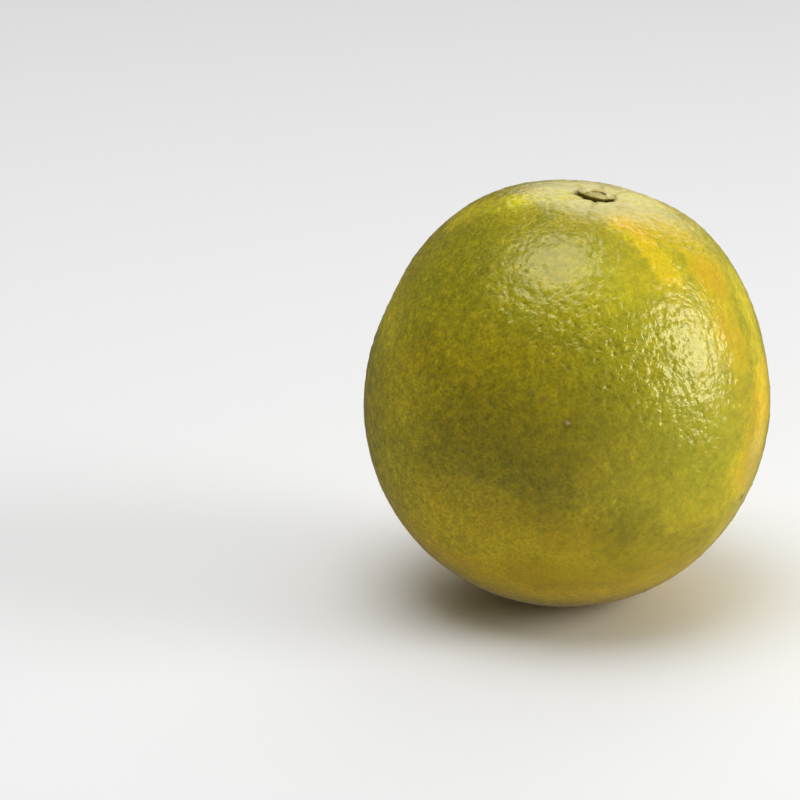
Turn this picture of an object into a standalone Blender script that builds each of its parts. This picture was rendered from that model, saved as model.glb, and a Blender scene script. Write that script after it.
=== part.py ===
"""Pera orange, one whole fruit as picked: the fruit, its calyx and the clipped end of its stalk.

Metres, +Z up. The fruit stands on a small flat spot beside its stylar end, which lies in the plane Z = 0,
with the stalk end on top and leaning a few degrees towards +X. The origin is under the middle of the fruit.
"""

import math

import bmesh
import bpy
from mathutils import Vector

# ---------------------------------------------------------------- driving dimensions, in metres
EQUATOR_R = 0.0325  # widest radius, across the fruit's own axis
TOP_R = 0.0370  # from the equator to where the stalk end would be without its flattening
BOTTOM_R = 0.0324  # from the equator to the stylar end
TOP_FULLNESS = 2.04  # 2 is an ellipsoid; a little more fills the shoulders out
BOTTOM_FULLNESS = 2.01
LEAN = math.radians(7.4)  # of the fruit's axis from the vertical, towards +X
FLAT_DEPTH = 0.0006  # how far the flat spot lies inside the round outline
CENTRE_X = -0.00006  # puts the middle of the leaning fruit over the origin

CROWN_DEPTH = 0.0020  # broad flattening of the stalk end
CROWN_R = 0.0093
DIMPLE_DEPTH = 0.0005  # hollow that the calyx lies in
DIMPLE_R = 0.0050
STYLAR_DEPTH = 0.0004  # much fainter hollow at the stylar end
STYLAR_R = 0.0035

STALK_R = 0.0013  # clipped stalk
STALK_ABOVE_CALYX = 0.00030
SOCKET_DEPTH = 0.0016  # how far the stalk's socket runs into the fruit
CALYX_R = 0.0033  # middle radius of the lobed calyx
CALYX_LOBE = 0.00032  # how far each lobe stands out
CALYX_LOBES = 5
CALYX_T = 0.00080  # thickness
GAP = 0.0003  # between pieces that touch

PROFILE_POINTS = 38
TURN_STEPS = 60


# ---------------------------------------------------------------- the outline that the fruit is turned from
def outline_z(r, top=True):
    """Height of the skin over the fruit's own equator at radius r, on the stalk side or the stylar side."""
    fullness = TOP_FULLNESS if top else BOTTOM_FULLNESS
    body = max(0.0, 1.0 - (r / EQUATOR_R) ** fullness) ** (1.0 / fullness)
    if top:
        crown = CROWN_DEPTH * math.exp(-((r / CROWN_R) ** 2))
        dimple = DIMPLE_DEPTH * math.exp(-((r / DIMPLE_R) ** 2))
        return TOP_R * body - crown - dimple
    return -(BOTTOM_R * body - STYLAR_DEPTH * math.exp(-((r / STYLAR_R) ** 2)))


def fruit_outline():
    """(radius, height) points from the middle of the stalk's socket, over the shoulder, down to the stylar end."""
    socket_r = STALK_R + GAP
    floor = outline_z(0.0) - SOCKET_DEPTH
    points = [(0.0, floor), (socket_r, floor), (socket_r, outline_z(socket_r))]
    start = math.asin(socket_r / EQUATOR_R)
    for i in range(1, PROFILE_POINTS + 1):
        u = start + (math.pi - start) * i / PROFILE_POINTS
        r = EQUATOR_R * max(0.0, math.sin(u))
        if i == PROFILE_POINTS:
            r = 0.0
        points.append((r, outline_z(r, top=math.cos(u) > 0.0)))
    return points


def reach_below_centre():
    """How far the leaning body reaches below its own centre."""
    low = 0.0
    for i in range(2001):
        r = EQUATOR_R * i / 2000.0
        z = outline_z(r, top=False)
        low = max(low, r * math.sin(LEAN) - z * math.cos(LEAN))
    return low


# ---------------------------------------------------------------- helpers
def material(name, colour, roughness):
    made = bpy.data.materials.new(name)
    made.use_nodes = True
    shader = made.node_tree.nodes["Principled BSDF"]
    shader.inputs["Base Color"].default_value = (*colour, 1.0)
    shader.inputs["Roughness"].default_value = roughness
    shader.inputs["Metallic"].default_value = 0.0
    made.diffuse_color = (*colour, 1.0)
    return made


def turned(name, points, steps, collection):
    """A body turned about its own Z from (radius, height) points that run down its outer side."""
    mesh = bpy.data.meshes.new(name)
    build = bmesh.new()
    row = [build.verts.new((r, 0.0, z)) for r, z in points]
    for a, b in zip(row, row[1:]):
        build.edges.new((a, b))
    build.to_mesh(mesh)
    build.free()
    obj = bpy.data.objects.new(name, mesh)
    collection.objects.link(obj)
    screw = obj.modifiers.new("turn", "SCREW")
    screw.axis = "Z"
    screw.angle = 2.0 * math.pi
    screw.steps = steps
    screw.render_steps = steps
    screw.use_merge_vertices = True
    screw.merge_threshold = 0.00001
    screw.use_smooth_shade = True
    return obj


def lobed_plate(name, collection):
    """The calyx: a thin plate with five low lobes, bored for the stalk, with its edges rounded."""
    curve = bpy.data.curves.new(name, "CURVE")
    curve.dimensions = "2D"
    curve.fill_mode = "BOTH"
    round_over = CALYX_T * 0.28
    curve.extrude = CALYX_T / 2.0 - round_over
    curve.bevel_depth = round_over
    curve.bevel_resolution = 1
    for points, radius, lobe in (
        (60, CALYX_R - round_over, CALYX_LOBE),
        (28, STALK_R + GAP + round_over, 0.0),
    ):
        spline = curve.splines.new("POLY")
        spline.points.add(points - 1)
        for i, point in enumerate(spline.points):
            turn = 2.0 * math.pi * i / points
            r = radius + lobe * math.cos(CALYX_LOBES * turn)
            point.co = (r * math.cos(turn), r * math.sin(turn), 0.0, 1.0)
        spline.use_cyclic_u = True
    outline = bpy.data.objects.new(name + "_outline", curve)
    collection.objects.link(outline)
    bpy.context.view_layer.update()
    seen = outline.evaluated_get(bpy.context.evaluated_depsgraph_get())
    mesh = bpy.data.meshes.new_from_object(seen)
    mesh.name = name
    build = bmesh.new()
    build.from_mesh(mesh)
    bmesh.ops.remove_doubles(build, verts=build.verts, dist=0.000002)
    bmesh.ops.recalc_face_normals(build, faces=build.faces)
    build.to_mesh(mesh)
    build.free()
    obj = bpy.data.objects.new(name, mesh)
    obj.matrix_world = outline.matrix_world.copy()
    collection.objects.link(obj)
    bpy.data.objects.remove(outline)
    bpy.data.curves.remove(curve)
    return obj


def main():
    for obj in list(bpy.data.objects):
        bpy.data.objects.remove(obj)

    scene = bpy.context.scene
    parts = bpy.data.collections.new("pera_orange")
    cutters = bpy.data.collections.new("cutters")
    scene.collection.children.link(parts)
    scene.collection.children.link(cutters)

    centre_height = reach_below_centre() - FLAT_DEPTH

    # The fruit's own axis: everything that belongs to the fruit leans with it.
    axis = bpy.data.objects.new("fruit_axis", None)
    axis.location = Vector((CENTRE_X, 0.0, centre_height))
    axis.rotation_euler = (0.0, LEAN, 0.0)
    parts.objects.link(axis)

    # Fruit, with the socket that the stalk grows out of.
    fruit = turned("fruit", fruit_outline(), TURN_STEPS, parts)
    fruit.parent = axis
    fruit.data.materials.append(material("rind", (0.42, 0.36, 0.03), 0.34))

    # The small flat spot that it stands on, cut level.
    bpy.ops.mesh.primitive_cube_add(size=1.0, location=(0.0, 0.0, -0.010))
    block = bpy.context.active_object
    block.name = "flat_spot_cutter"
    block.scale = (0.060, 0.060, 0.020)
    bpy.ops.object.transform_apply(location=False, rotation=False, scale=True)
    for owner in list(block.users_collection):
        owner.objects.unlink(block)
    cutters.objects.link(block)
    block.hide_render = True
    block.display_type = "WIRE"
    cut = fruit.modifiers.new("flat_spot", "BOOLEAN")
    cut.operation = "DIFFERENCE"
    cut.solver = "EXACT"
    cut.object = block

    # Calyx, lying on the skin in the hollow at the stalk end.
    calyx = lobed_plate("calyx", parts)
    calyx.parent = axis
    calyx_foot = max(outline_z(CALYX_R * k / 20.0) for k in range(9, 23)) + GAP
    calyx.location = (0.0, 0.0, calyx_foot + CALYX_T / 2.0)
    calyx.data.shade_smooth()
    calyx.data.set_sharp_from_angle(angle=math.radians(40.0))
    calyx.data.materials.append(material("calyx_skin", (0.30, 0.27, 0.10), 0.75))

    # Stalk, clipped just above the calyx.
    foot = outline_z(0.0) - SOCKET_DEPTH + GAP
    head = calyx_foot + CALYX_T + STALK_ABOVE_CALYX
    edge = 0.00022
    stalk = turned(
        "stalk_end",
        [
            (0.0, head),
            (STALK_R - edge, head),
            (STALK_R, head - edge),
            (STALK_R, foot + edge),
            (STALK_R - edge, foot),
            (0.0, foot),
        ],
        28,
        parts,
    )
    stalk.parent = axis
    stalk.data.materials.append(material("cut_wood", (0.62, 0.56, 0.30), 0.8))


main()
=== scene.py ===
"""The looks of a whole pera orange: pored skin, dry calyx and clipped stalk end, in metres, in the frame of the CAD."""

import math

import bmesh
import bpy
import numpy as np
from mathutils import Matrix, Vector, kdtree, noise


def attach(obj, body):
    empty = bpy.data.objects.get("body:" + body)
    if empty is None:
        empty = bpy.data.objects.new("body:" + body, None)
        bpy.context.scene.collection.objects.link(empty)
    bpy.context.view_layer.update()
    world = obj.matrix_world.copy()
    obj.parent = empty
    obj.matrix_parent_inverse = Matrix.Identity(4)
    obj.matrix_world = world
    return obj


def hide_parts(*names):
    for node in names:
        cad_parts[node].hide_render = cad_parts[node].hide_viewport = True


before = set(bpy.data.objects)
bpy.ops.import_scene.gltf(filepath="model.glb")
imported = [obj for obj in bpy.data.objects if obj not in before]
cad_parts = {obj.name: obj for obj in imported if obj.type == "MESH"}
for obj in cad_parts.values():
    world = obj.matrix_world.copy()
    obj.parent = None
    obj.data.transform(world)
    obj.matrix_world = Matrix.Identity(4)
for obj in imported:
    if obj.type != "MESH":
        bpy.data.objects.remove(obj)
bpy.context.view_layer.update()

# ---------------------------------------------------------------- the fruit's measures, as in the CAD
EQUATOR_R = 0.0325
TOP_R = 0.0370
BOTTOM_R = 0.0324
TOP_FULLNESS = 2.04
BOTTOM_FULLNESS = 2.01
LEAN = math.radians(7.4)
FLAT_DEPTH = 0.0006
CENTRE_X = -0.00006
CROWN_DEPTH = 0.0020
CROWN_R = 0.0093
DIMPLE_DEPTH = 0.0005
DIMPLE_R = 0.0050
STYLAR_DEPTH = 0.0004
STYLAR_R = 0.0035
STALK_R = 0.0013
CALYX_R = 0.0033
GAP = 0.0003

CROWN_FILL = 0.00050  # this fruit's crown is fuller beside the calyx than the plain outline
CROWN_FILL_R = 0.0062
CALYX_SHIFT = (-0.00018, 0.00085)  # the dry calyx lies a little off the axis

# lumps of this one fruit: angle in the plane that faces the camera, height in mm, width in radians
SHOULDERS = (
    (math.radians(66), -0.40, 0.14),
    (math.radians(22), -0.34, 0.30),
    (math.radians(-2), 0.24, 0.16),
    (math.radians(120), 0.36, 0.30),
    (math.radians(149), -0.38, 0.16),
    (math.radians(-45), -0.13, 0.25),
    (math.radians(-84), -0.16, 0.12),
)

# where its skin is coarser or calmer: mm to the right and up in the plane that faces the camera, amount, mm across
COARSER = (
    (9.5, 8.5, 1.15, 6.5),
    (15.5, 8.0, 0.50, 5.0),
    (21.0, 10.0, -0.05, 4.5),
    (-1.0, 12.0, 0.85, 6.5),
    (-1.0, 22.8, -0.60, 6.0),
    (22.0, -5.0, 0.45, 8.0),
)

# riper and greener patches of the rind: amount, the line that each follows (mm to the right and up, facing the
# camera), and how far from that line the patch is full and where it ends (mm)
RIPER = (
    (0.33, ((10.5, 30.2), (13.5, 29.2), (18.8, 26.4), (23.9, 20.8)), 2.2, 5.8),  # over the right shoulder
    (0.31, ((23.1, 20.1), (25.1, 14.5), (27.7, 8.0)), 1.5, 5.0),
    (0.50, ((32.0, 3.0), (30.8, -5.0), (29.6, -9.5)), 3.0, 7.5),  # right edge
    (-0.21, ((-19.0, 23.0), (2.0, 20.0), (8.0, 13.0), (22.0, -7.0)), 4.0, 12.0),  # green over the left shoulder
    (0.12, ((-24.0, 2.0), (-13.0, 0.0)), 3.0, 14.0),
    (0.25, ((-20.0, -14.0), (-8.0, -18.0), (2.0, -20.5)), 2.0, 7.5),
    (0.11, ((-3.0, -4.0), (3.0, -12.0)), 1.0, 6.0),
    (-0.18, ((-11.0, 31.5), (-5.0, 32.6)), 1.0, 4.5),
)
# the brightest skin of the ripe shoulder, which has a sharper edge
RIPE_EDGE = (
    (0.42, ((8.6, 29.6), (11.3, 27.7), (13.7, 24.7), (17.0, 20.8)), 1.1, 2.7),
    (0.18, ((25.5, 13.0), (28.2, 9.0)), 1.4, 2.8),
)
# lighter and darker patches, the same way. They are partly the skin's own tone and partly painted light: painted shade
# over the left side and low down, a painted sheen along the top and painted rim reflections along the left and right
# edges
TONE_AND_PAINTED_LIGHT = (
    (-0.46, ((-14.0, -5.0), (-4.0, -10.0)), 3.0, 16.0),
    (-0.24, ((-22.5, 10.0), (-21.0, 7.0)), 1.0, 5.0),
    (-0.09, ((-5.0, 11.0), (6.0, 3.0)), 2.0, 8.0),
    (-0.16, ((5.0, 0.0), (14.0, -9.0)), 1.0, 8.0),
    (0.03, ((10.0, 20.0), (14.0, 10.0)), 2.0, 9.0),
    (0.21, ((-8.0, 19.0), (0.0, 16.0), (8.0, 19.0)), 2.0, 8.0),
    (0.10, ((24.0, 0.0), (28.0, -13.0)), 1.0, 6.0),
    (-0.19, ((-5.0, -27.0), (8.0, -28.0)), 1.5, 7.0),
    (-0.34, ((9.0, -20.0), (14.0, -24.0), (19.5, -22.8)), 2.0, 8.0),
    (-0.16, ((-1.0, -20.0), (7.0, -23.0)), 1.0, 6.0),
    (0.36, ((-6.0, 33.0), (12.0, 33.0)), 1.0, 7.0),
    (0.10, ((-5.0, 33.2), (4.0, 33.2)), 1.0, 5.0),
    (0.42, ((-16.0, 30.6), (-9.0, 32.4)), 1.0, 5.5),
    (0.12, ((-10.0, 30.0), (-8.0, 25.0)), 1.0, 5.0),
    (0.20, ((9.5, 29.0), (13.7, 24.8), (17.0, 20.8)), 1.1, 3.4),
    (0.34, ((27.5, 20.0), (30.0, 13.0), (31.6, 4.0), (31.4, -4.0)), 1.0, 5.0),
    (0.28, ((-27.5, 19.5), (-28.5, 12.0)), 1.0, 6.0),
    (0.12, ((-16.0, -11.0), (-10.0, -13.0)), 1.0, 6.0),
    (0.12, ((-3.0, -30.5), (5.0, -30.5)), 1.0, 5.0),
)

MM = 0.001
GLANDS = 14180  # oil glands over the whole rind
SEED = 7


def outline_z(r, top=True):
    fullness = TOP_FULLNESS if top else BOTTOM_FULLNESS
    body = max(0.0, 1.0 - (r / EQUATOR_R) ** fullness) ** (1.0 / fullness)
    if top:
        crown = CROWN_DEPTH * math.exp(-((r / CROWN_R) ** 2))
        dimple = DIMPLE_DEPTH * math.exp(-((r / DIMPLE_R) ** 2))
        return TOP_R * body - crown - dimple
    return -(BOTTOM_R * body - STYLAR_DEPTH * math.exp(-((r / STYLAR_R) ** 2)))


def reach_below_centre():
    low = 0.0
    for i in range(2001):
        r = EQUATOR_R * i / 2000.0
        z = outline_z(r, top=False)
        low = max(low, r * math.sin(LEAN) - z * math.cos(LEAN))
    return low


CENTRE_Z = reach_below_centre() - FLAT_DEPTH
AXIS = Matrix.Translation((CENTRE_X, 0.0, CENTRE_Z)) @ Matrix.Rotation(LEAN, 4, "Y")
CALYX_FOOT = max(outline_z(CALYX_R * k / 20.0) for k in range(9, 23)) + GAP


def leaned(points):
    """Points of the fruit's own frame, placed in the row's frame."""
    rotation = np.array(AXIS.to_3x3())
    return points @ rotation.T + np.array(AXIS.translation)


def smooth(x, lo, hi):
    t = np.clip((x - lo) / (hi - lo), 0.0, 1.0)
    return t * t * (3.0 - 2.0 * t)


def value_noise(points, size, seed, octaves=1):
    """Perlin noise at points (metres) with features of the given size (metres), about -1 to 1."""
    shift = Vector((seed * 17.13, seed * 5.71, seed * 29.9))
    total = np.zeros(len(points))
    gain = 1.0
    for octave in range(octaves):
        scale = 2.0**octave / size
        total += gain * np.array([noise.noise(Vector(p) * scale + shift) for p in points.tolist()])
        gain *= 0.5
    return total


# ---------------------------------------------------------------- camera and light
ELEVATION = math.radians(18.5)
LENS = 200.0
SENSOR = 36.0
DISTANCE = 800.0 * LENS / SENSOR / 6225.0


CAMERA_BACK = Vector((0.0, -math.cos(ELEVATION), math.sin(ELEVATION)))
CAMERA_UP = Vector((0.0, math.sin(ELEVATION), math.cos(ELEVATION)))
CAMERA_RIGHT = Vector((1.0, 0.0, 0.0))
TARGET = Vector((CENTRE_X, 0.0, CENTRE_Z)) - CAMERA_RIGHT * 0.02663 + CAMERA_UP * 0.00082
INTO_AXIS = AXIS.inverted()


def inside(point):
    """Below 0 inside the smooth fruit, above 0 outside it."""
    x, y, z = INTO_AXIS @ point
    r = math.hypot(x, y)
    if z > 0.0:
        z += CROWN_DEPTH * math.exp(-((r / CROWN_R) ** 2)) + DIMPLE_DEPTH * math.exp(-((r / DIMPLE_R) ** 2))
        return (r / EQUATOR_R) ** TOP_FULLNESS + (z / TOP_R) ** TOP_FULLNESS - 1.0
    return (r / EQUATOR_R) ** BOTTOM_FULLNESS + (-z / BOTTOM_R) ** BOTTOM_FULLNESS - 1.0


def facing(right, up):
    """The point of the rind that the front view shows this far (mm) right of the fruit's centre and above it."""
    lens = TARGET + CAMERA_BACK * DISTANCE
    through = Vector((CENTRE_X, 0.0, CENTRE_Z)) + CAMERA_RIGHT * (right * MM) + CAMERA_UP * (up * MM)
    best, best_value = None, 1e9
    for k in range(240):
        point = lens + (through - lens) * (1.0 - (0.040 - 0.00025 * k) / DISTANCE)
        value = inside(point)
        if value < best_value:
            best, best_value = point, value
        if value <= 0.0:
            break
    return tuple(best)


def make_camera():
    data = bpy.data.cameras.new("camera")
    data.lens = LENS
    data.sensor_width = SENSOR
    data.clip_start = 0.01
    data.clip_end = 20.0
    camera = bpy.data.objects.new("camera", data)
    bpy.context.scene.collection.objects.link(camera)
    right, up, back = CAMERA_RIGHT, CAMERA_UP, CAMERA_BACK
    camera.matrix_world = Matrix.Translation(TARGET + back * DISTANCE) @ Matrix(
        (
            (right.x, up.x, back.x, 0.0),
            (right.y, up.y, back.y, 0.0),
            (right.z, up.z, back.z, 0.0),
            (0.0, 0.0, 0.0, 1.0),
        )
    )
    bpy.context.scene.camera = camera


def softbox(name, direction, distance, width, height, radiance, colour, shape="ELLIPSE"):
    """A soft light seen from the fruit in the given direction; radiance is what its face shows."""
    data = bpy.data.lights.new(name, "AREA")
    data.shape = shape
    data.size = width
    data.size_y = height
    area = width * height * (math.pi / 4.0 if shape == "ELLIPSE" else 1.0)
    data.energy = radiance * area * math.pi
    data.color = colour
    lamp = bpy.data.objects.new(name, data)
    bpy.context.scene.collection.objects.link(lamp)
    where = Vector(direction).normalized()
    lamp.location = Vector((0.0, 0.0, CENTRE_Z)) + where * distance
    lamp.rotation_euler = where.to_track_quat("Z", "Y").to_euler()
    return lamp


WALL = 1.20
ROOM = 0.10
ROOM_RIGHT = 0.12


# ---------------------------------------------------------------- shader helpers
class Shader:
    """Adds nodes to one material, with few words."""

    def __init__(self, name):
        self.material = bpy.data.materials.new(name)
        self.material.use_nodes = True
        self.tree = self.material.node_tree
        self.principled = self.tree.nodes["Principled BSDF"]
        self.place = self.tree.nodes.new("ShaderNodeTexCoord").outputs["Object"]

    def feed(self, socket, value):
        if isinstance(value, bpy.types.NodeSocket):
            self.tree.links.new(value, socket)
        elif isinstance(value, (tuple, list)) and len(value) == 3 and socket.type == "RGBA":
            socket.default_value = (*value, 1.0)
        else:
            socket.default_value = value

    def math(self, operation, a, b=0.0, clamp=False):
        node = self.tree.nodes.new("ShaderNodeMath")
        node.operation = operation
        node.use_clamp = clamp
        self.feed(node.inputs[0], a)
        self.feed(node.inputs[1], b)
        return node.outputs[0]

    def vector(self, operation, a, b=(0.0, 0.0, 0.0), scale=1.0):
        node = self.tree.nodes.new("ShaderNodeVectorMath")
        node.operation = operation
        self.feed(node.inputs[0], a)
        if operation == "SCALE":
            self.feed(node.inputs["Scale"], scale)
        else:
            self.feed(node.inputs[1], b)
        return node.outputs["Value" if operation in ("LENGTH", "DISTANCE", "DOT_PRODUCT") else "Vector"]

    def ramp(self, value, lo, hi, to_lo=0.0, to_hi=1.0, kind="SMOOTHSTEP"):
        node = self.tree.nodes.new("ShaderNodeMapRange")
        node.interpolation_type = kind
        self.feed(node.inputs["Value"], value)
        node.inputs["From Min"].default_value = lo
        node.inputs["From Max"].default_value = hi
        node.inputs["To Min"].default_value = to_lo
        node.inputs["To Max"].default_value = to_hi
        return node.outputs["Result"]

    def noise(self, size, detail=2.0, rough=0.5, where=None, distort=0.0, colour=False):
        node = self.tree.nodes.new("ShaderNodeTexNoise")
        self.feed(node.inputs["Vector"], where or self.place)
        node.inputs["Scale"].default_value = 1.0 / size
        node.inputs["Detail"].default_value = detail
        node.inputs["Roughness"].default_value = rough
        node.inputs["Distortion"].default_value = distort
        return node.outputs["Color" if colour else "Fac"]

    def mix(self, amount, a, b, mode="MIX"):
        node = self.tree.nodes.new("ShaderNodeMix")
        node.data_type = "RGBA"
        node.blend_type = mode
        self.feed(node.inputs["Factor"], amount)
        self.feed(node.inputs[6], a)
        self.feed(node.inputs[7], b)
        return node.outputs[2]

    def add(self, a, b):
        return self.math("ADD", a, b)

    def times(self, a, b):
        return self.math("MULTIPLY", a, b)

    def split(self, vector, which):
        node = self.tree.nodes.new("ShaderNodeSeparateXYZ")
        self.feed(node.inputs[0], vector)
        return node.outputs[which]

    def strip(self, where, line, inner, outer):
        """1 within inner mm of the line through the given points, fading to 0 at outer mm."""
        nearest = None
        for start, end in zip(line, line[1:]):
            along = Vector(end) - Vector(start)
            from_start = self.vector("SUBTRACT", where, tuple(start))
            share = self.vector("DOT_PRODUCT", from_start, tuple(along))
            share = self.ramp(self.times(share, 1.0 / max(along.length_squared, 1e-12)), 0.0, 1.0, kind="LINEAR")
            foot = self.vector("SCALE", tuple(along), scale=share)
            far = self.vector("DISTANCE", from_start, foot)
            nearest = far if nearest is None else self.math("MINIMUM", nearest, far)
        return self.ramp(nearest, inner * MM, outer * MM, 1.0, 0.0)

    def gradient(self, value, stops):
        node = self.tree.nodes.new("ShaderNodeValToRGB")
        ramp = node.color_ramp
        while len(ramp.elements) < len(stops):
            ramp.elements.new(1.0)
        for element, (position, colour) in zip(ramp.elements, stops):
            element.position = position
        for element, (position, colour) in zip(ramp.elements, stops):
            element.color = (*colour, 1.0)
        self.feed(node.inputs["Fac"], value)
        return node.outputs["Color"]

    def attribute(self, name):
        node = self.tree.nodes.new("ShaderNodeAttribute")
        node.attribute_name = name
        return node.outputs["Fac"]

    def set(self, name, value):
        self.feed(self.principled.inputs[name], value)


# ---------------------------------------------------------------- the rind
def gland_centres():
    """Unit vectors spread evenly but irregularly over the fruit, one for each oil gland."""
    rng = np.random.default_rng(SEED)
    points = rng.normal(size=(GLANDS, 3))
    points /= np.linalg.norm(points, axis=1)[:, None]
    spacing = math.sqrt(4.0 * math.pi / GLANDS * 2.0 / math.sqrt(3.0))
    for step in range(14):
        tree = kdtree.KDTree(GLANDS)
        rows = points.tolist()
        for i, p in enumerate(rows):
            tree.insert(p, i)
        tree.balance()
        near = np.array([[hit[1] for hit in tree.find_n(p, 8)] for p in rows])
        away = points[:, None, :] - points[near]
        far = np.linalg.norm(away, axis=2)
        push = np.clip(spacing - far, 0.0, None) / np.maximum(far, 1e-9)
        push[:, 0] = 0.0
        points = points + 0.42 * (away * push[:, :, None]).sum(axis=1)
        points /= np.linalg.norm(points, axis=1)[:, None]
    return points, spacing


def hull_triangles(points):
    build = bmesh.new()
    for i, p in enumerate(points.tolist()):
        build.verts.new(p).index = i
    build.verts.ensure_lookup_table()
    build.verts.index_update()
    bmesh.ops.convex_hull(build, input=list(build.verts), use_existing_faces=False)
    triangles = np.array([[v.index for v in f.verts] for f in build.faces if len(f.verts) == 3])
    build.free()
    a, b, c = (points[triangles[:, k]] for k in range(3))
    inward = (np.cross(b - a, c - a) * (a + b + c)).sum(axis=1) < 0.0
    triangles[inward] = triangles[inward][:, ::-1]
    return triangles


def skin_surface(directions):
    """Points and outward normals of the smooth fruit, in its own frame, for unit vectors from its centre."""
    x, y, z = directions.T
    rho = np.hypot(x, y)
    top = z > 0.0
    n = np.where(top, TOP_FULLNESS, BOTTOM_FULLNESS)
    half = np.where(top, TOP_R, BOTTOM_R)
    reach = ((rho / EQUATOR_R) ** n + (np.abs(z) / half) ** n) ** (-1.0 / n)
    points = directions * reach[:, None]
    r = rho * reach
    hollow = CROWN_DEPTH * np.exp(-((r / CROWN_R) ** 2)) + DIMPLE_DEPTH * np.exp(-((r / DIMPLE_R) ** 2))
    points[:, 2] += np.where(top, -hollow, STYLAR_DEPTH * np.exp(-((r / STYLAR_R) ** 2)))
    side = rho ** (n - 1.0) / EQUATOR_R**n
    safe = np.maximum(rho, 1e-9)
    normals = np.stack(
        [side * x / safe, side * y / safe, np.sign(z) * np.abs(z) ** (n - 1.0) / half**n], axis=1
    )
    normals /= np.linalg.norm(normals, axis=1)[:, None]
    return points, normals, r


def make_rind():
    centres, spacing = gland_centres()
    coarse = hull_triangles(centres)
    rng = np.random.default_rng(SEED + 1)
    size = rng.normal(1.0, 0.16, GLANDS).clip(0.6, 1.45)  # relative width of each gland's pit
    depth = np.exp(rng.normal(0.0, 0.45, GLANDS)).clip(0.25, 2.6)  # relative depth
    tint = rng.random(GLANDS)
    # each gland stands a little proud or lies a little deep
    bulge = (rng.normal(0.0, 0.9, GLANDS) * np.exp(rng.normal(0.0, 0.35, GLANDS))).clip(-1.8, 1.8)

    # one ring vertex on each side of every edge between two neighbouring glands
    starts = coarse[:, [0, 1, 2, 1, 2, 0]].ravel()
    ends = coarse[:, [1, 2, 0, 0, 1, 2]].ravel()
    keys = np.unique(starts.astype(np.int64) * GLANDS + ends)
    first, second = keys // GLANDS, keys % GLANDS
    gap = np.linalg.norm(centres[first] - centres[second], axis=1)
    out = np.minimum(0.30 * spacing * size[first], 0.42 * gap)
    ring = centres[first] + (centres[second] - centres[first]) * (out / gap)[:, None]
    ring /= np.linalg.norm(ring, axis=1)[:, None]

    def ring_index(i, j):
        return GLANDS + np.searchsorted(keys, i.astype(np.int64) * GLANDS + j)

    a, b, c = coarse.T
    ab, ba, bc, cb, ca, ac = (
        ring_index(a, b),
        ring_index(b, a),
        ring_index(b, c),
        ring_index(c, b),
        ring_index(c, a),
        ring_index(a, c),
    )
    triangles = np.concatenate(
        [
            np.stack(t, axis=1)
            for t in (
                (a, ab, ac),
                (b, bc, ba),
                (c, ca, cb),
                (ab, ba, ac),
                (ba, bc, cb),
                (cb, ca, ac),
                (ba, cb, ac),
            )
        ]
    )
    directions = np.concatenate([centres, ring])
    owner = np.concatenate([np.arange(GLANDS), first])
    middle = np.concatenate([np.ones(GLANDS), np.zeros(len(ring))])

    points, normals, r = skin_surface(directions)
    top = directions[:, 2] > 0.0
    turn = np.arctan2(directions[:, 1], directions[:, 0])

    # broad unevenness of the whole fruit, then the gentle hammered look between the glands
    lift = 0.12 * MM * value_noise(points, 21.0 * MM, 1)
    lift += 0.09 * MM * value_noise(points, 8.5 * MM, 2)
    hammered = 0.018 * value_noise(points, 2.0 * MM, 3) + 0.054 * value_noise(points, 0.95 * MM, 4)

    # this fruit's own unevenness: fuller left shoulder, flatter right one
    rotation = np.array(AXIS.to_3x3())
    outward = directions @ rotation.T
    for angle, height, width in SHOULDERS:
        towards = np.array(
            (
                math.cos(angle),
                math.sin(angle) * math.sin(ELEVATION),
                math.sin(angle) * math.cos(ELEVATION),
            )
        )
        away = np.arccos(np.clip(outward @ towards, -1.0, 1.0))
        lift += height * MM * np.exp(-((away / width) ** 2))

    # low ridges that run out from the calyx
    near_stalk = np.where(top, np.exp(-(((r - 5.2 * MM) / (3.4 * MM)) ** 2)), 0.0)
    wobble = turn + 0.35 * value_noise(points, 9.0 * MM, 5)
    lift += near_stalk * MM * (0.14 * np.cos(9.0 * wobble + 0.7) + 0.09 * np.cos(17.0 * wobble + 2.1))
    lift += near_stalk * MM * 0.11 * value_noise(points * np.array((1.0, 1.0, 0.3)), 1.9 * MM, 8)

    lift += np.where(top, CROWN_FILL * np.exp(-((r / CROWN_FILL_R) ** 2)), 0.0)

    # the pits over the glands, shallow and small beside the calyx
    calm = np.where(top, smooth(r, 3.0 * MM, 9.0 * MM), 1.0) * 0.45 + 0.55
    hammered -= 0.046 * depth[owner] * size[owner] * middle * calm
    hammered += 0.074 * bulge[owner] * (0.4 + 0.6 * middle) * calm
    relief = 1.0 + 0.25 * value_noise(points, 14.0 * MM, 6)
    for right, up, amount, width in COARSER:
        near = np.array(facing(right, up)) - np.array(AXIS.translation)
        away = np.linalg.norm(points @ rotation.T - near, axis=1)
        relief += amount * np.exp(-((away / (width * MM)) ** 2))
    relief = relief.clip(0.3, 2.2) * (1.0 - 0.40 * smooth(-directions[:, 2], 0.15, 0.65))
    lift += relief * hammered * MM

    points = points + normals * lift[:, None]

    # the socket under the calyx, and the groove that its edge lies in
    socket = np.where(top, 1.0 - smooth(r, 1.5 * MM, 2.3 * MM), 0.0)
    points[:, 2] -= socket * 1.9 * MM
    from_calyx = np.hypot(points[:, 0] - CALYX_SHIFT[0], points[:, 1] - CALYX_SHIFT[1])
    groove = np.exp(-(((from_calyx - 2.8 * MM) / (0.55 * MM)) ** 2))
    points[:, 2] -= np.where(top, groove * 0.22 * MM, 0.0)

    points = leaned(points)
    soft = 0.00025
    points[:, 2] = 0.5 * (points[:, 2] + np.sqrt(points[:, 2] ** 2 + soft**2))

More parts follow.
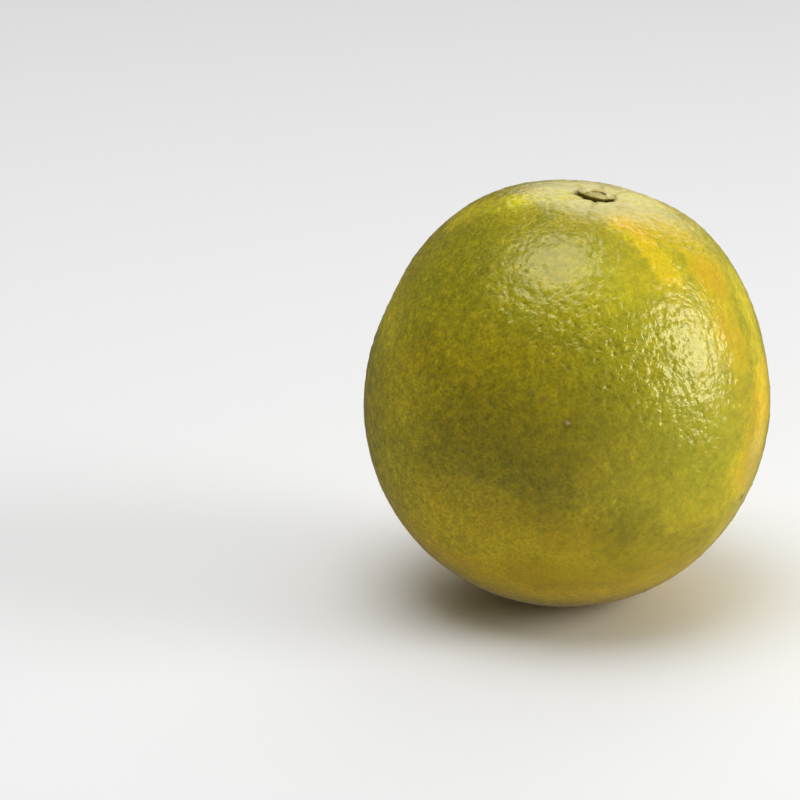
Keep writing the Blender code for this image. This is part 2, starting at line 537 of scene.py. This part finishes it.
    mesh = bpy.data.meshes.new("rind")
    mesh.from_pydata(points.tolist(), [], triangles.tolist())
    mesh.update()
    mesh.shade_smooth()
    for name, values in (("gland", middle), ("tint", tint[owner]), ("relief", relief)):
        layer = mesh.attributes.new(name, "FLOAT", "POINT")
        layer.data.foreach_set("value", values.astype(np.float32))
    obj = bpy.data.objects.new("rind_skin", mesh)
    bpy.context.scene.collection.objects.link(obj)
    return obj


def rind_material():
    s = Shader("pera_rind")
    gland = s.attribute("gland")
    tint = s.attribute("tint")

    # colour patches have wandering, slightly feathered edges
    broad = s.noise(9.0 * MM, 2.0, 0.5, colour=True)
    fine = s.noise(1.9 * MM, 3.0, 0.62, colour=True)
    wander = s.vector("SCALE", s.vector("SUBTRACT", broad, (0.5, 0.5, 0.5)), scale=4.5 * MM)
    feather = s.vector("SCALE", s.vector("SUBTRACT", fine, (0.5, 0.5, 0.5)), scale=4.2 * MM)
    place = s.vector("ADD", s.vector("ADD", s.place, wander), feather)

    mottle = s.noise(5.2 * MM, 3.0, 0.6)
    freckle = s.noise(1.15 * MM, 2.0, 0.55)
    grain = s.noise(0.42 * MM, 2.0, 0.6)

    # how ripe the rind is: 0 leaf green, 1 orange
    ripe = s.add(0.35, s.times(s.add(mottle, -0.5), 0.42))
    axis_z = s.vector("DOT_PRODUCT", s.vector("SUBTRACT", place, tuple(AXIS.translation)), tuple(AXIS.to_3x3().col[2]))
    ripe = s.add(ripe, s.ramp(axis_z, -4.0 * MM, -24.0 * MM, 0.0, 0.50))
    for amount, line, inner, outer in RIPER:
        ripe = s.add(ripe, s.times(s.strip(place, [facing(*at) for at in line], inner, outer), amount))
    near_place = s.vector("ADD", s.place, s.vector("SCALE", feather, scale=0.7))
    for amount, line, inner, outer in RIPE_EDGE:
        ripe = s.add(ripe, s.times(s.strip(near_place, [facing(*at) for at in line], inner, outer), amount))
    behind = s.noise(24.0 * MM, 2.0, 0.5)
    back = s.ramp(s.split(s.place, 1), 6.0 * MM, 18.0 * MM)
    ripe = s.add(ripe, s.times(s.times(s.ramp(behind, 0.36, 0.64, -0.25, 0.45), back), 1.0))
    # glands turn one by one, the skin between them first
    ripe = s.add(ripe, s.times(s.add(tint, -0.5), 0.16))
    ripe = s.add(ripe, s.times(s.add(gland, -0.3), -0.10))
    ripe = s.add(ripe, s.times(s.add(freckle, -0.5), 0.40))
    colour = s.gradient(
        ripe,
        (
            (0.00, (0.400, 0.382, 0.008)),
            (0.34, (0.490, 0.414, 0.008)),
            (0.68, (0.660, 0.503, 0.005)),
            (1.00, (0.700, 0.455, 0.005)),
        ),
    )

    # lighter and darker skin, partly its own tone and partly painted light and painted shade
    light = s.add(-0.38, s.times(s.add(s.noise(3.1 * MM, 3.0, 0.6), -0.5), 0.28))
    # the skin grows lighter towards the right: partly its own tone, partly painted light on the side the lamp lights
    light = s.add(light, s.ramp(s.split(place, 0), -22.0 * MM, 22.0 * MM, 0.0, 0.28))
    # the skin's own tone together with painted shade, painted sheen and painted rim reflections
    for amount, line, inner, outer in TONE_AND_PAINTED_LIGHT:
        light = s.add(light, s.times(s.strip(place, [facing(*at) for at in line], inner, outer), amount))
    speckle = s.add(s.times(s.add(freckle, -0.5), 0.52), s.times(s.add(grain, -0.5), 1.0))
    light = s.add(light, s.times(speckle, s.ramp(s.split(s.place, 0), -24.0 * MM, 18.0 * MM, 1.5, 0.50)))
    light = s.add(light, s.times(speckle, s.ramp(s.split(s.place, 2), 8.0 * MM, 24.0 * MM, -0.35, 0.0)))
    light = s.add(light, s.times(s.add(tint, -0.5), 0.14))
    light = s.add(light, s.times(s.times(gland, tint), -0.26))
    colour = s.vector("SCALE", colour, scale=s.math("EXPONENT", s.add(light, 0.10)))

    # paler, duller skin round the stalk, with ragged arms, partly its own bloom and partly a painted sheen, and a tan
    # bloom low on the right
    stalk_top = AXIS @ Vector((0.0, 0.0, CALYX_FOOT))
    from_stalk = s.vector("DISTANCE", place, tuple(stalk_top))
    # painted sheen, partly: the pale band near the top of the fruit
    pale_bloom_and_painted_sheen = s.times(s.ramp(from_stalk, 4.0 * MM, 13.5 * MM, 1.0, 0.0), s.ramp(mottle, 0.28, 0.56, 0.35, 1.0))
    colour = s.mix(s.times(pale_bloom_and_painted_sheen, 0.68), colour, (0.72, 0.65, 0.28))
    tan = s.strip(place, [facing(31.0, -6.0), facing(28.5, -15.0), facing(22.5, -23.5)], 0.8, 6.0)
    colour = s.mix(s.times(tan, 0.30), colour, (0.72, 0.56, 0.20))

    # painted shade in the groove round the calyx, and the brown scar at the stylar end
    calyx_at = AXIS @ Vector((*CALYX_SHIFT, SEAT))
    at = s.vector("ADD", s.place, s.vector("SCALE", s.vector("SUBTRACT", fine, (0.5, 0.5, 0.5)), scale=0.9 * MM))
    # painted shade: a dark ring in the groove under the calyx's edge
    ring = s.ramp(s.vector("DISTANCE", at, tuple(calyx_at)), 3.08 * MM, 3.90 * MM, 0.88, 0.0)
    colour = s.mix(ring, colour, (0.200, 0.160, 0.022))
    stylar = tuple(AXIS @ Vector((0.0, 0.0, STYLAR_DEPTH - BOTTOM_R)))
    scar = s.vector("DISTANCE", s.vector("ADD", s.place, s.vector("SCALE", feather, scale=0.25)), stylar)
    colour = s.mix(s.ramp(scar, 1.8 * MM, 4.2 * MM, 0.35, 0.0), colour, (0.42, 0.34, 0.10))
    colour = s.mix(s.ramp(scar, 0.7 * MM, 1.5 * MM, 0.85, 0.0), colour, (0.16, 0.095, 0.030))

    # weather marks
    for right, up, radius, amount, shade in (
        (0.35, -3.0, 0.95, 0.38, (0.10, 0.055, 0.010)),
        (0.35, -2.9, 0.34, 0.62, (0.72, 0.54, 0.26)),
        (0.50, 6.1, 0.50, 0.60, (0.07, 0.07, 0.03)),
        (-3.7, 0.8, 0.70, 0.30, (0.10, 0.085, 0.030)),
        (-5.3, 1.9, 0.50, 0.35, (0.10, 0.085, 0.045)),
        (26.1, 3.7, 0.45, 0.60, (0.10, 0.08, 0.02)),
        (28.3, -14.8, 0.60, 0.65, (0.08, 0.06, 0.02)),
        (-6.1, 21.4, 0.40, 0.45, (0.12, 0.10, 0.03)),
        (7.1, 10.6, 0.45, 0.35, (0.10, 0.10, 0.03)),
    ):
        mark = s.ramp(s.vector("DISTANCE", at, facing(right, up)), 0.35 * radius * MM, 1.5 * radius * MM, amount, 0.0)
        colour = s.mix(mark, colour, shade)
    s.set("Base Color", colour)

    rough = s.add(0.21, s.times(grain, 0.08))
    rough = s.add(rough, s.times(pale_bloom_and_painted_sheen, 0.14))
    s.set("Roughness", rough)

    # the fine leathery relief between and across the glands
    leather = s.add(s.times(s.noise(0.76 * MM, 1.0, 0.5, distort=0.6), 0.098), s.times(s.noise(0.27 * MM, 1.0, 0.5), 0.010))
    leather = s.times(s.add(leather, s.times(s.ramp(gland, 0.15, 0.95), -0.010)), s.attribute("relief"))
    bump = s.tree.nodes.new("ShaderNodeBump")
    bump.inputs["Strength"].default_value = 1.0
    bump.inputs["Distance"].default_value = MM
    s.feed(bump.inputs["Height"], leather)
    s.set("Normal", bump.outputs["Normal"])

    s.set("Specular Tint", (1.0, 0.91, 0.55))
    s.set("IOR", 1.85)
    return s.material


# ---------------------------------------------------------------- calyx and stalk end
SEAT = outline_z(CALYX_R) + CROWN_FILL * math.exp(-((CALYX_R / CROWN_FILL_R) ** 2))  # skin under the calyx's edge


def polar_mesh(name, rings, attributes):
    """A closed body from rings of (x, y, z) arrays in the fruit's own frame, first and last ring closed by a fan."""
    steps = len(rings[0])
    points = np.concatenate(rings + [rings[0].mean(axis=0)[None, :], rings[-1].mean(axis=0)[None, :]])
    first_hub, last_hub = len(points) - 2, len(points) - 1
    faces = []
    for k in range(len(rings) - 1):
        for i in range(steps):
            j = (i + 1) % steps
            faces.append((k * steps + i, (k + 1) * steps + i, (k + 1) * steps + j, k * steps + j))
    for i in range(steps):
        j = (i + 1) % steps
        faces.append((first_hub, i, j))
        base = (len(rings) - 1) * steps
        faces.append((last_hub, base + j, base + i))
    mesh = bpy.data.meshes.new(name)
    mesh.from_pydata(leaned(points).tolist(), [], faces)
    build = bmesh.new()
    build.from_mesh(mesh)
    bmesh.ops.recalc_face_normals(build, faces=build.faces)
    build.to_mesh(mesh)
    build.free()
    mesh.update()
    mesh.shade_smooth()
    for key, values in attributes.items():
        whole = np.concatenate(values + [values[0].mean()[None], values[-1].mean()[None]])
        layer = mesh.attributes.new(key, "FLOAT", "POINT")
        layer.data.foreach_set("value", whole.astype(np.float32))
    obj = bpy.data.objects.new(name, mesh)
    bpy.context.scene.collection.objects.link(obj)
    return obj


def make_calyx():
    """The dry calyx: five low lobes with clefts between them, a collar round the stalk, an undercut edge."""
    steps = 220
    turn = np.linspace(0.0, 2.0 * math.pi, steps, endpoint=False)
    ring = np.stack([np.cos(turn), np.sin(turn), np.zeros(steps)], axis=1)
    wander = value_noise(ring, 0.55, 21, 3)
    lobe = np.abs(np.cos(2.5 * (turn + 0.16 * wander + 0.314))) ** 0.55
    edge = (2.68 + 0.39 * lobe + 0.11 * wander) * MM  # outer radius
    cleft = 1.0 - smooth(np.abs(np.cos(2.5 * (turn + 0.16 * wander + 0.314))), 0.0, 0.30)
    # the near left side stands clear of the skin, the right side is pressed on to it
    clear = (0.5 - 0.5 * np.cos(turn - math.radians(40.0))) ** 1.3
    bore = (STALK_R + 0.00006) * (1.0 + 0.03 * wander)

    rings, out, dark_and_painted_shade = [], [], []

    def add_ring(radius, height, shade):
        x = radius * np.cos(turn) + CALYX_SHIFT[0] * smooth(radius, bore, edge)
        y = radius * np.sin(turn) + CALYX_SHIFT[1] * smooth(radius, bore, edge)
        rings.append(np.stack([x, y, SEAT + height], axis=1))
        out.append(radius / edge)
        dark_and_painted_shade.append(np.broadcast_to(shade, radius.shape).astype(float))

    # up the inside of the collar, its wall a little darkened with painted shade
    for k in range(5):
        add_ring(bore + 0.0 * turn, (-0.55 + 1.0 * k / 4.0) * MM + 0.0 * turn, 0.18)
    # over the top, from the collar out to the lobes, with painted shade in the clefts between them
    top_rings = 26
    for k in range(top_rings):
        u = k / (top_rings - 1.0)
        radius = bore + (edge - bore) * u
        height = 0.42 + 0.32 * clear
        height = height + 0.15 * np.exp(-(((radius - 1.75 * MM) / (0.40 * MM)) ** 2)) * (1.0 + 0.5 * wander)
        height = height - 0.16 * np.exp(-(((radius - bore) / (0.16 * MM)) ** 2))
        height = height - (0.30 - 0.20 * clear) * smooth(u, 0.45, 1.0) - 0.10 * smooth(u, 0.86, 1.0)
        height = height - 0.16 * cleft * smooth(u, 0.35, 0.9)
        spot = np.stack([radius * np.cos(turn), radius * np.sin(turn), np.full(steps, 0.004)], axis=1)
        fibre = value_noise(ring * 1.0 + np.array((0.0, 0.0, 0.25 * u)), 0.075, 22, 2)
        height = height + 0.030 * fibre * smooth(u, 0.12, 0.5)
        height = height + 0.070 * value_noise(spot, 0.85 * MM, 23, 3)
        add_ring(radius, height * MM, 0.45 * cleft * smooth(u, 0.5, 0.95))
    rim = height
    # round the edge and back under it, darker the further under it goes: partly brown, partly painted shade
    for k, (inward, drop) in enumerate(((0.00, 0.07), (0.01, 0.18), (0.04, 0.33), (0.10, 0.50), (0.24, 0.68))):
        ragged = 1.0 + 0.5 * value_noise(ring, 0.16, 24 + k)
        low = np.maximum(rim - drop * (0.50 + 0.50 * clear), -0.22)
        add_ring(edge - inward * MM * ragged, low * MM, min(1.0, 0.36 + 0.34 * k))
    # the underside, dark all over: painted shade under the calyx
    for radius in (2.2, 1.8, 1.45):
        add_ring(radius * MM + 0.0 * turn, np.full(steps, -0.25) * MM, 1.0)
    return polar_mesh("calyx_dry", rings, {"out": out, "dark_and_painted_shade": dark_and_painted_shade})


def make_stalk_end():
    """The clipped stalk: a ragged woody ring round a sunken pith."""
    steps = 96
    turn = np.linspace(0.0, 2.0 * math.pi, steps, endpoint=False)
    ring = np.stack([np.cos(turn), np.sin(turn), np.zeros(steps)], axis=1)
    wander = value_noise(ring, 0.5, 31, 3)
    rings, out, dark_and_painted_shade = [], [], []
    side = (STALK_R - 0.00010) * (1.0 + 0.035 * wander)
    for k in range(18):
        u = (k + 0.4) / 17.4
        radius = side * u
        spot = np.stack([radius * np.cos(turn), radius * np.sin(turn), np.full(steps, 0.009)], axis=1)
        height = 0.29 + 0.13 * np.exp(-(((u - 0.74) / 0.17) ** 2)) * (1.0 + 0.8 * wander)
        height = height - 0.14 * smooth(1.0 - u, 0.45, 0.95) - 0.14 * smooth(u, 0.86, 1.0)
        height = height + 0.070 * value_noise(spot, 0.30 * MM, 32, 3) + 0.035 * np.cos(3.0 * turn + 1.0) * u
        rings.append(np.stack([radius * np.cos(turn), radius * np.sin(turn), SEAT + height * MM], axis=1))
        out.append(np.full(steps, u))
        dark_and_painted_shade.append(np.zeros(steps))
    # down the side into the socket, darker with depth: painted shade
    for k in range(1, 9):
        drop = 1.9 * k / 8.0
        fibre = value_noise(ring + np.array((0.0, 0.0, 0.05 * k)), 0.11, 33)
        radius = side * (1.0 + 0.02 * fibre)
        rings.append(
            np.stack([radius * np.cos(turn), radius * np.sin(turn), SEAT + (height - drop) * MM], axis=1)
        )
        out.append(np.ones(steps))
        dark_and_painted_shade.append(np.full(steps, min(1.0, 0.4 + 0.3 * k)))
    return polar_mesh("stalk_clipped", rings, {"out": out, "dark_and_painted_shade": dark_and_painted_shade})


def calyx_material():
    s = Shader("pera_calyx")
    out = s.attribute("out")
    dark_and_painted_shade = s.attribute("dark_and_painted_shade")
    blotch = s.noise(0.95 * MM, 3.0, 0.6)
    fine = s.noise(0.22 * MM, 3.0, 0.65)
    colour = s.mix(s.ramp(blotch, 0.36, 0.62), (0.58, 0.50, 0.17), (0.86, 0.75, 0.40))
    colour = s.mix(s.ramp(out, 0.62, 0.95, 0.0, 0.55), colour, (0.44, 0.40, 0.10))
    colour = s.mix(s.times(s.ramp(fine, 0.52, 0.72), 0.45), colour, (0.30, 0.22, 0.07))
    # the dark edge, underside, clefts and collar wall: partly brown, partly painted shade
    colour = s.mix(s.ramp(dark_and_painted_shade, 0.15, 0.80), colour, (0.200, 0.150, 0.022))
    s.set("Base Color", colour)
    s.set("Roughness", s.add(0.62, s.times(fine, 0.3)))
    bump = s.tree.nodes.new("ShaderNodeBump")
    bump.inputs["Strength"].default_value = 1.0
    bump.inputs["Distance"].default_value = MM
    s.feed(bump.inputs["Height"], s.times(fine, 0.07))
    s.set("Normal", bump.outputs["Normal"])
    s.set("Specular IOR Level", 0.15)
    return s.material


def stalk_material():
    s = Shader("pera_stalk")
    out = s.attribute("out")
    dark_and_painted_shade = s.attribute("dark_and_painted_shade")
    fine = s.noise(0.20 * MM, 3.0, 0.65)
    blotch = s.noise(0.6 * MM, 2.0, 0.5)
    colour = s.gradient(
        s.add(out, s.times(s.add(fine, -0.5), 0.16)),
        (
            (0.00, (0.300, 0.190, 0.060)),
            (0.38, (0.400, 0.280, 0.100)),
            (0.60, (0.560, 0.440, 0.190)),
            (0.80, (0.440, 0.320, 0.110)),
            (0.93, (0.300, 0.210, 0.070)),
        ),
    )
    colour = s.mix(s.times(s.ramp(blotch, 0.45, 0.65), 0.5), colour, (0.22, 0.14, 0.045))
    # painted shade down the stalk's side, in the socket
    colour = s.mix(s.ramp(dark_and_painted_shade, 0.2, 0.8), colour, (0.060, 0.040, 0.010))
    s.set("Base Color", colour)
    s.set("Roughness", s.add(0.70, s.times(fine, 0.25)))
    bump = s.tree.nodes.new("ShaderNodeBump")
    bump.inputs["Strength"].default_value = 1.0
    bump.inputs["Distance"].default_value = MM
    s.feed(bump.inputs["Height"], s.times(fine, 0.08))
    s.set("Normal", bump.outputs["Normal"])
    s.set("Specular IOR Level", 0.3)
    return s.material


# ---------------------------------------------------------------- stage
def make_stage():
    bpy.ops.mesh.primitive_circle_add(vertices=96, radius=2.5, fill_type="NGON", location=(0, 0, 0))
    floor = bpy.context.active_object
    floor.name = "floor"
    s = Shader("floor_pale")
    s.set("Base Color", (0.94, 0.94, 0.94))
    s.set("Roughness", 0.9)
    s.set("Specular IOR Level", 0.1)
    floor.data.materials.append(s.material)
    floor.visible_glossy = False


def make_world():
    """A white room: bright wall behind, dim in front and overhead, a little brighter on the right."""
    world = bpy.data.worlds.new("studio")
    world.use_nodes = True
    tree = world.node_tree
    background = tree.nodes["Background"]
    split = tree.nodes.new("ShaderNodeSeparateXYZ")
    tree.links.new(tree.nodes.new("ShaderNodeTexCoord").outputs["Generated"], split.inputs[0])

    def ramp(value, lo, hi, to_lo, to_hi):
        node = tree.nodes.new("ShaderNodeMapRange")
        node.interpolation_type = "SMOOTHSTEP"
        tree.links.new(value, node.inputs["Value"])
        for name, number in (("From Min", lo), ("From Max", hi), ("To Min", to_lo), ("To Max", to_hi)):
            node.inputs[name].default_value = number
        return node.outputs["Result"]

    def math_node(operation, a, b):
        node = tree.nodes.new("ShaderNodeMath")
        node.operation = operation
        for socket, value in zip(node.inputs, (a, b)):
            if isinstance(value, float):
                socket.default_value = value
            else:
                tree.links.new(value, socket)
        return node.outputs[0]

    wall = math_node(
        "MULTIPLY", ramp(split.outputs["Z"], 0.02, 0.32, 0.0, WALL), ramp(split.outputs["Z"], 0.55, 0.85, 1.0, 0.0)
    )
    wall = math_node("MULTIPLY", wall, ramp(split.outputs["Y"], 0.30, 0.75, 0.0, 1.0))
    wall = math_node("MULTIPLY", wall, ramp(split.outputs["X"], -0.16, 0.02, 0.0, 1.0))
    wall = math_node("MULTIPLY", wall, ramp(split.outputs["X"], 0.38, 0.60, 1.0, 0.0))
    room = math_node("ADD", wall, ramp(split.outputs["X"], -0.3, 0.9, ROOM, ROOM + ROOM_RIGHT))
    tree.links.new(room, background.inputs["Strength"])
    background.inputs["Color"].default_value = (1.0, 1.0, 1.0, 1.0)
    seen = tree.nodes.new("ShaderNodeBackground")
    seen.inputs["Color"].default_value = (0.93, 0.93, 0.93, 1.0)
    choose = tree.nodes.new("ShaderNodeMixShader")
    tree.links.new(tree.nodes.new("ShaderNodeLightPath").outputs["Is Camera Ray"], choose.inputs[0])
    tree.links.new(background.outputs[0], choose.inputs[1])
    tree.links.new(seen.outputs[0], choose.inputs[2])
    tree.links.new(choose.outputs[0], tree.nodes["World Output"].inputs["Surface"])
    bpy.context.scene.world = world


# ---------------------------------------------------------------- put together
scene = bpy.context.scene
scene.view_settings.view_transform = "Standard"
make_camera()
make_world()
softbox("overhead", (-0.14, -0.10, 0.985), 0.8, 0.60, 0.60, 2.65, (1.0, 1.0, 1.0))
softbox("side", (0.92, -0.18, 0.31), 0.8, 0.48, 0.58, 5.00, (1.0, 1.0, 1.0))
fill = softbox("fill", (-0.05, 0.10, 0.99), 1.3, 2.0, 2.0, 0.85, (1.0, 1.0, 1.0))
fill.visible_glossy = False
make_stage()

rind = make_rind()
rind.data.materials.append(rind_material())
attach(rind, "root")
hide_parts("fruit")

calyx = make_calyx()
calyx.data.materials.append(calyx_material())
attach(calyx, "root")
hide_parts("calyx")

stalk = make_stalk_end()
stalk.data.materials.append(stalk_material())
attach(stalk, "root")
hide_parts("stalk_end")
